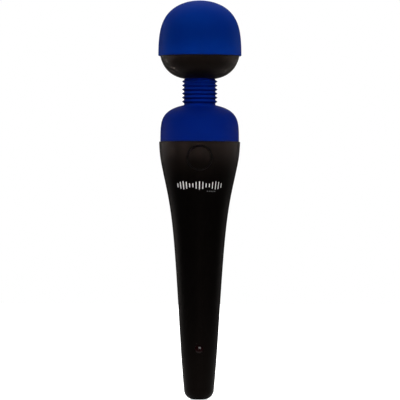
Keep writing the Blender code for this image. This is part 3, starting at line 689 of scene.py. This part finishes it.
def handle_loop():
    """The section of the handle's wall as a closed loop of (radius, height, is outside).

    Also the numbers of the points up the outer side, and of those beside them inside.
    """
    side_start, side_end = HANDLE_SIDE[0][0], HANDLE_TOP_Z - MOUTH_ROUND
    run = 0.001
    lean = math.degrees(math.atan((side_radius(side_start + run) - side_radius(side_start)) / run))
    heights = np.linspace(side_start, side_end, round((side_end - side_start) / ROW_STEP))
    entry_up, entry_out = 0.0004, 0.0003
    entry = [(SOCKET_RADIUS, END_WALL / 2), (SOCKET_RADIUS, entry_up)]
    entry += [(SOCKET_RADIUS + entry_out, 0.0)]
    corner = arc((END_CENTRE, END_ROUND), END_ROUND, -90, -lean, 14)[:-1]
    side = [(side_radius(z), z) for z in heights]
    mouth_radius = side[-1][0] - MOUTH_ROUND
    mouth = arc((mouth_radius, side_end), MOUTH_ROUND, 15, 90, 6)
    outside = entry + corner + side + mouth
    base_radius = side[0][0] - HANDLE_WALL
    base_round, boss_radius = 0.0008, 0.0035
    inside = [(mouth_radius - MOUTH_LIP, HANDLE_TOP_Z)]
    inside += [(radius - HANDLE_WALL, z) for radius, z in side[::-1]]
    inside += [(base_radius - base_round, END_WALL + entry_up), (boss_radius, END_WALL)]
    inside += [(SOCKET_RADIUS, END_WALL)]
    loop = [(*point, True) for point in outside] + [(*point, False) for point in inside]
    first = len(entry + corner)
    outer_rows = list(range(first, first + len(side)))
    last = len(outside) + len(side)
    inner_rows = list(range(last, last - len(side), -1))
    return loop, outer_rows, inner_rows


def handle_columns():
    """Each column as (share of the way round the half, how far into the rounded edge)."""
    edge = [0.33, 0.67, 1.0]
    shares = [(share, 0.0) for share in np.linspace(-1, 1, HANDLE_COLUMNS + 1)]
    return [(-1, bend) for bend in edge[::-1]] + shares + [(1, bend) for bend in edge]


def handle_point(radius, height, outside, column, facing):
    """A point of a half's wall, which is rounded outside and sloped where the halves meet."""
    share, bend = column
    turn = math.radians(90 * bend)
    y = SPLIT_GAP + SPLIT_ROUND * (1 - math.sin(turn))
    if not outside:
        y += facing * SPLIT_SLANT
    if bend == 0:
        angle = share * math.acos(y / radius)
        return Vector((radius * math.sin(angle), facing * radius * math.cos(angle), height))
    inset = SPLIT_ROUND * (1 - math.cos(turn)) if outside else 0.0
    return Vector((share * math.sqrt((radius - inset) ** 2 - y * y), facing * y, height))


def join_loops(loops, faces):
    """Add the faces between each loop of points and the next."""
    for before, after in zip(loops, loops[1:]):
        count = len(before)
        for i in range(count):
            j = (i + 1) % count
            faces.append((before[i], before[j], after[j], after[i]))


def drill(hole, points, faces, outer, inner):
    """Fill the frames round a hole in the outer and inner skins, and line the hole.

    outer and inner are the points round each frame, in the same order.
    """
    local = [points[i] - hole.centre for i in outer]
    angles = [math.atan2(p.dot(hole.up), p.dot(hole.across)) for p in local]
    count, rings = len(outer), 8

    def ring(spots):
        first = len(points)
        points.extend(spots)
        return list(range(first, first + count))

    def frame_to_circle(frame_points, radius, inset):
        made = [frame_points]
        flat = [points[i] - hole.centre for i in frame_points]
        flat = [(p.dot(hole.across), p.dot(hole.up)) for p in flat]
        for step in range(1, rings + 1):
            share = step / rings
            spots = []
            for (x, y), angle in zip(flat, angles):
                to_x = x + (radius * math.cos(angle) - x) * share
                to_y = y + (radius * math.sin(angle) - y) * share
                spots.append(hole.on_skin(to_x, to_y, inset))
            made.append(ring(spots))
        return made

    loops = frame_to_circle(outer, hole.radius + hole.rounding, 0.0)
    for turn in np.radians((22.5, 45, 67.5, 90)):
        radius = hole.radius + hole.rounding * (1 - math.sin(turn))
        sink = hole.rounding * (1 - math.cos(turn))
        spots = [hole.on_skin(radius * math.cos(a), radius * math.sin(a)) for a in angles]
        loops.append(ring([spot - hole.out * sink for spot in spots]))
    for radius, depth in hole.steps:
        spots = [hole.on_plane(radius * math.cos(a), radius * math.sin(a), depth) for a in angles]
        loops.append(ring(spots))
    end_radius = hole.steps[-1][0] if hole.steps else hole.radius
    loops += frame_to_circle(inner, end_radius, HANDLE_WALL)[::-1]
    join_loops(loops, faces)


def handle_half(name, facing, holes, node):
    """One half of the handle as a closed wall with holes; facing -1 is the front."""
    loop, outer_rows, inner_rows = handle_loop()
    columns = handle_columns()
    points, faces, at = [], [], {}
    for k, (radius, height, outside) in enumerate(loop):
        for j, column in enumerate(columns):
            at[k, j] = len(points)
            points.append(handle_point(radius, height, outside, column, facing))
    opened = set()
    for hole in holes:
        rows = [i for i, k in enumerate(outer_rows) if abs(loop[k][1] - hole.centre.z) < hole.reach]
        middle = outer_rows[(rows[0] + rows[-1]) // 2]
        across = [abs(points[at[middle, j]].x - hole.centre.x) for j in range(len(columns))]
        nearby = [j for j, away in enumerate(across) if away < hole.reach]
        low, high, left, right = rows[0], rows[-1], nearby[0], nearby[-1]
        edge = [(low, j) for j in range(left, right)]
        edge += [(i, right) for i in range(low, high)]
        edge += [(high, j) for j in range(right, left, -1)]
        edge += [(i, left) for i in range(high, low, -1)]
        for i in range(low, high):
            for j in range(left, right):
                opened.add((outer_rows[i], j))
                opened.add((inner_rows[i + 1], j))
        outer = [at[outer_rows[i], j] for i, j in edge]
        inner = [at[inner_rows[i], j] for i, j in edge]
        drill(hole, points, faces, outer, inner)
    for k in range(len(loop)):
        above = (k + 1) % len(loop)
        for j in range(len(columns) - 1):
            if (k, j) not in opened:
                faces.append((at[k, j], at[k, j + 1], at[above, j + 1], at[above, j]))
    last = len(columns) - 1
    faces.append([at[k, 0] for k in range(len(loop))])
    faces.append([at[k, last] for k in reversed(range(len(loop)))])
    used = sorted({i for face in faces for i in face})
    number = {old: new for new, old in enumerate(used)}
    faces = [[number[i] for i in face] for face in faces]
    add_piece(name, [points[i] for i in used], faces, "soft_touch_black", "handle", [node])


def fitted_disc(name, hole, radius, lift, crown, rounding, back, look, body, node):
    """A round piece in a hole. Its face follows the handle's skin, with a crown on it.

    back is the outline behind the face: (radius, depth) pairs that end on the axis.
    """
    steps, rings = 96, 14
    points, faces, loops = [], [], []

    def ring(spot_at):
        first = len(points)
        angles = [2 * math.pi * i / steps for i in range(steps)]
        points.extend(spot_at(math.cos(a), math.sin(a)) for a in angles)
        loops.append(list(range(first, first + steps)))

    flat = radius - rounding
    points.append(hole.on_skin(0, 0) + hole.out * (lift + crown))
    for n in range(1, rings + 1):
        r = flat * n / rings
        height = lift + crown * (1 - (r / radius) ** 2)
        ring(lambda c, s, r=r, h=height: hole.on_skin(r * c, r * s) + hole.out * h)
    edge = lift + crown * (1 - (flat / radius) ** 2)
    for turn in np.radians((15, 30, 45, 60, 75, 90)):
        r = flat + rounding * math.sin(turn)
        height = edge - rounding * (1 - math.cos(turn))
        ring(lambda c, s, r=r, h=height: hole.on_skin(r * c, r * s) + hole.out * h)
    for r, depth in back[:-1]:
        ring(lambda c, s, r=r, d=depth: hole.on_plane(r * c, r * s, d))
    points.append(hole.on_plane(0, 0, back[-1][1]))
    join_loops(loops, faces)
    for i in range(steps):
        j = (i + 1) % steps
        faces.append((0, loops[0][j], loops[0][i]))
        faces.append((len(points) - 1, loops[-1][i], loops[-1][j]))
    add_piece(name, points, faces, look, body, [node])


def make_button():
    """The button, with a flange inside the handle and a post that meets the switch."""
    flange_radius, flange_top, flange_bottom = 0.0070, 0.0038, 0.0046
    post_radius, post_end = 0.0018, 0.0056
    sink, crown, edge_round = 0.00010, 0.00060, 0.0006
    back = [
        (BUTTON_RADIUS, flange_top), (flange_radius, flange_top), (flange_radius, flange_bottom),
        (post_radius, flange_bottom), (post_radius, post_end), (0.0, post_end),
    ]
    fitted_disc(
        "button_top", BUTTON, BUTTON_RADIUS, -sink, crown, edge_round, back,
        "soft_touch_black", "button", "power_button",
    )


def make_plugs():
    sink, crown, edge_round, length = 0.00012, 0.00008, 0.0003, 0.0017
    back = [(PLUG_RADIUS, length), (0.0, length)]
    for number, hole in enumerate(PLUGS, 1):
        fitted_disc(
            f"plug_{number}", hole, PLUG_RADIUS, -sink, crown, edge_round, back,
            "black_rubber", "handle", f"screw_plug_{number}",
        )


def make_lens():
    """The charge light's face, barely domed, with a flange on the recess floor.

    Heights are above the handle's skin, so most are negative.
    """
    floor = -LIGHT_RECESS_DEPTH
    barrel, barrel_end, neck = 0.0015, -0.0030, LIGHT_HOLE_RADIUS - 0.0001
    shoulder, flange_bottom, flange_top = floor - 0.0001, floor + 0.00002, floor + 0.00012
    flange, face, face_foot = 0.00205, 0.00165, floor + 0.00016
    face_edge, crown, corner = floor + 0.00030, 0.00005, 0.00008
    profile = [(0.0, barrel_end), (barrel, barrel_end), (barrel, shoulder), (neck, shoulder)]
    profile += [(neck, flange_bottom), (flange, flange_bottom), (flange, flange_top)]
    profile += [(face, face_foot)]
    profile += arc((face - corner, face_edge - corner), corner, 0, 90, 6)
    for share in np.linspace(0.88, 0, 12):
        profile.append(((face - corner) * share, face_edge + crown * (1 - share * share)))
    points, faces = revolve(profile, 64, LIGHT.matrix())
    add_piece("charge_light_lens", points, faces, "red_lens", "handle", ["led_lens"])


def make_socket():
    """The charging socket's sleeve behind its hole, and the centre pin."""
    low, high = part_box("charge_socket")
    radius, seat, back = high.x, low.z, high.z
    chamfer, bottom = 0.0002, back - 0.0013
    profile = [(0.0, bottom), (SOCKET_RADIUS, bottom), (SOCKET_RADIUS, seat + chamfer)]
    profile += [(SOCKET_RADIUS + chamfer, seat), (radius, seat), (radius, back), (0.0, back)]
    points, faces = revolve(profile, 64)
    add_piece("socket_sleeve", points, faces, "chip_black", "handle", ["charge_socket"])
    pin_low, pin_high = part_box("socket_pin")
    pin = pin_high.x
    tip = arc((0.0, pin_low.z + pin), pin, -90, 0, 8)
    profile = [(0.0, tip[0][1])] + tip[1:] + [(pin, pin_high.z), (0.0, pin_high.z)]
    points, faces = revolve(profile, 32)
    add_piece("socket_centre_pin", points, faces, "nickel", "handle", ["socket_pin"])


# Print: a run of upright bars that swells and fades, over a row of small dots

def printed_bar(x, z, half_width, half_height, points, faces):
    """A thin rounded bar on the handle's skin, upright, added to the points and faces."""
    raised, sunk, turns = 0.00003, 0.00004, 6
    straight = half_height - half_width
    outline = arc((x, z + straight), half_width, 0, 180, turns + 1)
    outline += arc((x, z - straight), half_width, 180, 360, turns + 1)
    first, count = len(points), len(outline)
    for level in (raised, -sunk):
        for spot_x, spot_z in outline:
            radius = side_radius(spot_z)
            angle = spot_x / side_radius(PRINT_Z)
            reach = radius + level
            points.append(Vector((reach * math.sin(angle), -reach * math.cos(angle), spot_z)))
    faces.append(list(range(first, first + count)))
    faces.append(list(reversed(range(first + count, first + 2 * count))))
    for i in range(count):
        j = (i + 1) % count
        faces.append((first + i, first + j, first + count + j, first + count + i))


def make_print():
    """A pulse of upright bars, bold on the left and finer on the right, over a dim row of dots."""
    points, faces = [], []
    for i in range(BAR_COUNT):
        share = i / (BAR_COUNT - 1)
        x = (share - 0.5) * (PRINT_WIDTH - 2 * BAR_HALF_WIDTH)
        half_width = BAR_HALF_WIDTH * (1.0 - BAR_THINNING * share)
        half_height = BAR_LOW + BAR_SWING * abs(math.sin(BAR_WAVE * i + BAR_WAVE_START))
        printed_bar(x, PRINT_Z, half_width, half_height, points, faces)
    add_piece("pulse_print", points, faces, "white_print", "handle")
    points, faces = [], []
    for i in range(DOT_COUNT):
        x = DOTS_X + DOT_PITCH * i
        printed_bar(x, DOTS_Z, DOT_HALF_WIDTH, DOT_HALF_HEIGHT, points, faces)
    add_piece("dots_print", points, faces, "grey_print", "handle")


# Head

def cap_outline():
    """The cap's skin without its swollen rim, up to the top."""
    curve = shell_curve(CAP_RADIUS, CAP_CURVE_BASE_Z, TOP_Z, CAP_POWERS, CAP_RIM_Z, 0.0, 64)
    return curve[:-1] + [(0.0, TOP_Z)]


def make_cap():
    """The silicone cap, with a rounded rim that swells a little."""
    curve = cap_outline()
    rim_z = CAP_RIM_Z + CAP_RIM_ROUND
    outer = []
    for radius, height in curve:
        swell = min(1.0, max(0.0, 2 - (height - CAP_RIM_Z) / CAP_SWELL_HEIGHT))
        outer.append((radius + CAP_RIM_SWELL * swell * swell * (3 - 2 * swell), height))
    outer = [point for point in outer if point[1] > rim_z]
    inner = [point for point in offset(curve, CAP_WALL) if point[1] > rim_z]
    rim = arc((inner[0][0] + CAP_RIM_ROUND, rim_z), CAP_RIM_ROUND, 180, 270, 7)
    rim += arc((outer[0][0] - CAP_RIM_ROUND, rim_z), CAP_RIM_ROUND, 270, 360, 7)
    points, faces = revolve(inner[::-1] + rim + outer)
    add_piece("cap", points, faces, "blue_silicone", "cap", ["head_cap"])


def bowl_outline():
    """The lower shell's skin, down from the split to the neck hole."""
    curve = shell_curve(
        BOWL_RADIUS, -BOWL_CURVE_TOP_Z, -BOWL_BOTTOM_Z, BOWL_POWERS, -BOWL_CURVE_START_Z,
        NECK_HOLE_RADIUS + 0.0004, 48,
    )
    curve = [(radius, -height) for radius, height in curve]
    return [(BOWL_TOP_RADIUS, HEAD_SPLIT_Z), (BOWL_TOP_RADIUS, BOWL_BAND_Z)] + curve


def make_bowl():
    skin = bowl_outline()
    collar_radius = NECK_HOLE_RADIUS + BOWL_COLLAR_WALL
    inside = [point for point in offset(skin, -HEAD_WALL) if point[0] > collar_radius]
    last_radius, last_z = skin[-1]
    lip = arc((last_radius, last_z + BOWL_LIP_ROUND), BOWL_LIP_ROUND, 270, 180, 6)
    collar = [(NECK_HOLE_RADIUS, BOWL_COLLAR_Z), (collar_radius, BOWL_COLLAR_Z)]
    points, faces = revolve(skin + lip[1:] + collar + inside[::-1])
    add_piece("bowl", points, faces, "soft_touch_black", "head", ["head_lower_shell"])


def make_upper_shell():
    """The hard dome under the cap, with three screw recesses bored from above."""
    split, first_z = HEAD_SPLIT_Z + 0.0003, HEAD_SPLIT_Z + 0.0007
    curve = offset(cap_outline(), SHELL_UNDER_CAP)
    outer = [(BOWL_TOP_RADIUS, split)] + [point for point in curve if point[1] > first_z]
    inner = [point for point in offset(curve, HEAD_WALL) if point[1] > first_z]
    points, faces = revolve(inner[::-1] + [(inner[0][0], split)] + outer, 96)
    look, node = "soft_touch_black", "head_upper_shell"
    piece = add_piece("upper_shell", points, faces, look, "head", [node])
    for angle in np.radians(HEAD_SCREW_ANGLES):
        place = (HEAD_SCREW_CIRCLE * math.cos(angle), HEAD_SCREW_CIRCLE * math.sin(angle), 0.2)
        bpy.ops.mesh.primitive_cylinder_add(
            vertices=32, radius=HEAD_SCREW_RECESS, depth=0.03, location=place
        )
        cutter = bpy.context.object
        boolean = piece.modifiers.new("recess", "BOOLEAN")
        boolean.operation = "DIFFERENCE"
        boolean.object = cutter
        bpy.context.view_layer.objects.active = piece
        bpy.ops.object.modifier_apply(modifier=boolean.name)
        bpy.data.objects.remove(cutter)


# Shoulder and neck, one moulding in two meshes

def rib_radius(height):
    """The ribbed side of the neck: round teeth with wider valleys."""
    turn = (height - RIB_FIRST_Z) / RIB_PITCH
    tooth = (0.5 + 0.5 * math.cos(2 * math.pi * turn)) ** 1.25
    return RIB_ROOT_RADIUS + (RIB_TIP_RADIUS - RIB_ROOT_RADIUS) * tooth


def rib_outline(first_turn, last_turn):
    """The ribbed side between two places counted in pitches from the first rib's middle."""
    turns = np.linspace(first_turn, last_turn, round((last_turn - first_turn) * RIB_STEPS) + 1)
    heights = [RIB_FIRST_Z + turn * RIB_PITCH for turn in turns]
    return [(rib_radius(z), z) for z in heights]


def make_shoulder():
    """The shoulder, with the lower half of the ribs above it."""
    start = HANDLE_TOP_Z + SEAM
    flare, hollow_round = 0.0006, 0.0005
    curve = shell_curve(
        SHOULDER_RADIUS, SHOULDER_BASE_Z, SHOULDER_TOP_Z, SHOULDER_POWERS, start + 0.0002,
        RIB_ROOT_RADIUS + flare, 56,
    )
    tuck = start - SHOULDER_TUCK
    tuck_in, tuck_out = SHOULDER_TUCK_RADII
    rounding = SHOULDER_EDGE_ROUND
    edge = arc((SHOULDER_RADIUS - rounding, start + rounding), rounding, 270, 345, 5)
    hollow_centre = (RIB_ROOT_RADIUS + hollow_round, curve[-1][1] + flare)
    hollow = arc(hollow_centre, hollow_round, 250, 185, 6)
    ribs = rib_outline(-0.44, NECK_JOIN_RIB)
    inner = [point for point in offset(curve, SHOULDER_WALL) if point[0] > NECK_BORE + 0.0004]
    top = ribs[-1][1]
    bore = [(NECK_BORE, z) for z in np.linspace(top, inner[-1][1] - 0.0005, 24)]
    profile = [(tuck_in, tuck), (tuck_out, tuck), (tuck_out, start)]
    profile += [(SHOULDER_RADIUS - 0.0004, start)]
    profile += edge + curve + hollow + ribs + bore + inner[::-1]
    points, faces = revolve(profile)
    piece = add_piece("shoulder", points, faces, "blue_silicone", None, ["neck_sleeve"])
    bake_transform(piece)


def make_upper_neck():
    """The upper half of the ribs, and the spigot that enters the bowl."""
    ribs = rib_outline(NECK_JOIN_RIB, RIB_COUNT - 0.5)
    first, last = ribs[0][1], ribs[-1][1]
    spigot = [(NECK_TOP_RADIUS + 0.00002, last + 0.0004), (NECK_TOP_RADIUS, 0.1646)]
    spigot += [(NECK_SPIGOT_RADIUS, NECK_SPIGOT_Z), (NECK_SPIGOT_RADIUS, NECK_TOP_Z)]
    bore = [(NECK_BORE, z) for z in np.linspace(NECK_TOP_Z, first, 40)]
    points, faces = revolve(ribs + spigot + bore)
    piece = add_piece("upper_neck", points, faces, "blue_silicone", None, ["neck_sleeve"])
    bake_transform(piece)


# Inside the neck, the spring and the motor's leads, each in two pieces split where the neck's halves
# meet

def tube(path, radius, beside):
    """A round wire along a path, closed at both ends. beside is never parallel to the path."""
    points, faces = [], []
    last, sides = len(path) - 1, WIRE_SIDES
    for i, spot in enumerate(path):
        along = (path[min(i + 1, last)] - path[max(i - 1, 0)]).normalized()
        across = along.cross(beside).normalized()
        up = across.cross(along)
        for k in range(sides):
            angle = 2 * math.pi * k / sides
            points.append(spot + (across * math.cos(angle) + up * math.sin(angle)) * radius)
    for i in range(last):
        for k in range(sides):
            j = (k + 1) % sides
            faces.append((i * sides + k, i * sides + j, (i + 1) * sides + j, (i + 1) * sides + k))
    faces.append(list(reversed(range(sides))))
    faces.append(list(range(last * sides, (last + 1) * sides)))
    return points, faces


def add_bending(name, path_at, low, high, count, radius, beside, look, node):
    """A wire through the neck in two pieces, which meet where the neck's two halves do."""
    join = RIB_FIRST_Z + NECK_JOIN_RIB * RIB_PITCH
    lower = [path_at(z) for z in np.linspace(low, join - WIRE_GAP / 2, count)]
    upper = [path_at(z) for z in np.linspace(join + WIRE_GAP / 2, high, count)]
    piece = add_piece(f"{name}_lower", *tube(lower, radius, beside), look, None, [node])
    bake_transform(piece)
    piece = add_piece(f"{name}_upper", *tube(upper, radius, beside), look, None, [node])
    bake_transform(piece)


def make_neck_spring():
    low, high = SPRING_ENDS_Z

    def coil(z):
        angle = 2 * math.pi * SPRING_TURNS * (z - low) / (high - low)
        return Vector((SPRING_RADIUS * math.cos(angle), SPRING_RADIUS * math.sin(angle), z))

    add_bending(
        "spring", coil, low, high, 90, SPRING_WIRE_RADIUS, Vector((0, 0, 1)), "steel", "neck_spring"
    )


def make_motor_leads():
    """From the board, in to the middle of the neck, and up to the motor."""
    for colour, x in (("red", LEAD_X), ("black", -LEAD_X)):

        def route(z, x=x):
            share = min(1.0, (z - LEAD_START_Z) / (LEAD_STRAIGHT_Z - LEAD_START_Z))
            return Vector((x, LEAD_START_Y * (0.5 + 0.5 * math.cos(math.pi * share)), z))

        add_bending(
            f"lead_{colour}", route, LEAD_START_Z, LEAD_END_Z, 48, LEAD_RADIUS,
            Vector((1, 0, 0)), f"{colour}_wire", f"motor_lead_{colour}",
        )


# Stage

def hang_lamp(name, kind, place, aim, power, colour):
    """A lamp turned to the aim point. Its data comes back, to be given a shape."""
    data = bpy.data.lights.new(name, kind)
    data.energy = power
    data.color = colour
    lamp = bpy.data.objects.new(name, data)
    lamp.location = place
    lamp.rotation_euler = (Vector(aim) - Vector(place)).to_track_quat("-Z", "Y").to_euler()
    bpy.context.scene.collection.objects.link(lamp)
    return data


def add_beam(height, lamp_height, distance, size, reach, powers, colour):
    """Spot lamps all round at one height, each aimed between its own side and the front."""
    for azimuths, power in zip(BEAM_AZIMUTHS, powers):
        for azimuth in azimuths:
            turn = math.radians(azimuth)
            place = Vector((distance * math.sin(turn), -distance * math.cos(turn), lamp_height))
            across, forward = math.sin(turn / 2), -math.cos(turn / 2)
            aim = Vector((BEAM_AIM_RADIUS * across, BEAM_AIM_RADIUS * forward, height))
            data = hang_lamp("beam", "SPOT", place, aim, power * distance * distance, colour)
            data.spot_size = 2 * math.atan(reach / (aim - place).length)
            data.spot_blend = 1.0
            data.shadow_soft_size = size


def make_lights():
    """Soft rectangular lamps that face the object's axis, and the beams."""
    for name, place, aim_height, size, power, colour in PANELS:
        data = hang_lamp(name, "AREA", place, (0, 0, aim_height), power, colour)
        data.shape = "RECTANGLE"
        data.size, data.size_y = size
    for beam in (COLLAR_BEAM, BUTTON_BEAM, CAP_BEAM, BOWL_BEAM, UNDER_BOWL_BEAM, NECK_BEAM):
        add_beam(*beam)


def show_camera(nodes, links, seen, given, surface):
    """One shader for what the camera sees, and another for all other light."""
    rays = nodes.new("ShaderNodeLightPath")
    mixed = nodes.new("ShaderNodeMixShader")
    links.new(rays.outputs["Is Camera Ray"], mixed.inputs["Fac"])
    links.new(given, mixed.inputs[1])
    links.new(seen, mixed.inputs[2])
    links.new(mixed.outputs["Shader"], surface)


def make_floor():
    """A white floor, whose reflected light fades away from the object."""
    bpy.ops.mesh.primitive_circle_add(
        vertices=96, radius=FLOOR_RADIUS, fill_type="NGON", location=(0, 0, -FLOOR_DROP)
    )
    floor = bpy.context.object
    floor.name = "floor"
    paint = bpy.data.materials.new("floor_paint")
    nodes, links = node_tree(paint)
    seen = nodes["Principled BSDF"]
    seen.inputs["Base Color"].default_value = FLOOR_COLOUR
    seen.inputs["Roughness"].default_value = 0.9
    seen.inputs["Specular IOR Level"].default_value = 0.1
    seen.inputs["Emission Color"].default_value = (1, 1, 1, 1)
    seen.inputs["Emission Strength"].default_value = FLOOR_GLOW
    distance = nodes.new("ShaderNodeVectorMath")
    distance.operation = "LENGTH"
    links.new(piece_place(nodes), distance.inputs[0])
    fade = map_range(nodes, links, distance.outputs["Value"], FLOOR_FADE, FLOOR_REFLECTS)
    reflected = nodes.new("ShaderNodeBsdfDiffuse")
    links.new(fade.outputs["Result"], reflected.inputs["Color"])
    surface = nodes["Material Output"].inputs["Surface"]
    show_camera(nodes, links, seen.outputs["BSDF"], reflected.outputs["BSDF"], surface)
    floor.data.materials.append(paint)


def make_world():
    """White behind the object as the camera sees it; a soft light overhead for everything else."""
    world = bpy.data.worlds.new("studio")
    nodes, links = node_tree(world)
    white = nodes["Background"]
    white.inputs["Color"].default_value = (1, 1, 1, 1)
    direction = nodes.new("ShaderNodeSeparateXYZ")
    links.new(nodes.new("ShaderNodeTexCoord").outputs["Generated"], direction.inputs["Vector"])
    height = map_range(nodes, links, direction.outputs["Z"], SKY_HEIGHTS, SKY_STRENGTHS)
    height.interpolation_type = "SMOOTHSTEP"
    soft = nodes.new("ShaderNodeBackground")
    links.new(height.outputs["Result"], soft.inputs["Strength"])
    surface = nodes["World Output"].inputs["Surface"]
    show_camera(nodes, links, white.outputs["Background"], soft.outputs["Background"], surface)
    bpy.context.scene.world = world


def make_camera():
    data = bpy.data.cameras.new("camera")
    data.sensor_width = CAMERA_SENSOR
    data.lens = CAMERA_LENS
    data.clip_start = 0.05
    data.clip_end = 20
    camera = bpy.data.objects.new("camera", data)
    middle = (CAD_BOX[0].z + CAD_BOX[1].z) / 2
    camera.location = (CAMERA_X, -CAMERA_DISTANCE, middle - CAMERA_DROP)
    camera.rotation_euler = (math.radians(90), CAMERA_ROLL, 0)
    bpy.context.scene.collection.objects.link(camera)
    bpy.context.scene.camera = camera
    bpy.context.scene.view_settings.view_transform = "Standard"


make_camera()
finish_cad_nodes()
handle_half("handle_front", -1, [BUTTON, LIGHT], "handle_front_shell")
handle_half("handle_rear", 1, PLUGS, "handle_rear_shell")
make_button()
make_plugs()
make_lens()
make_socket()
make_print()
make_cap()
make_bowl()
make_upper_shell()
make_shoulder()
make_upper_neck()
make_neck_spring()
make_motor_leads()
make_lights()
make_floor()
make_world()
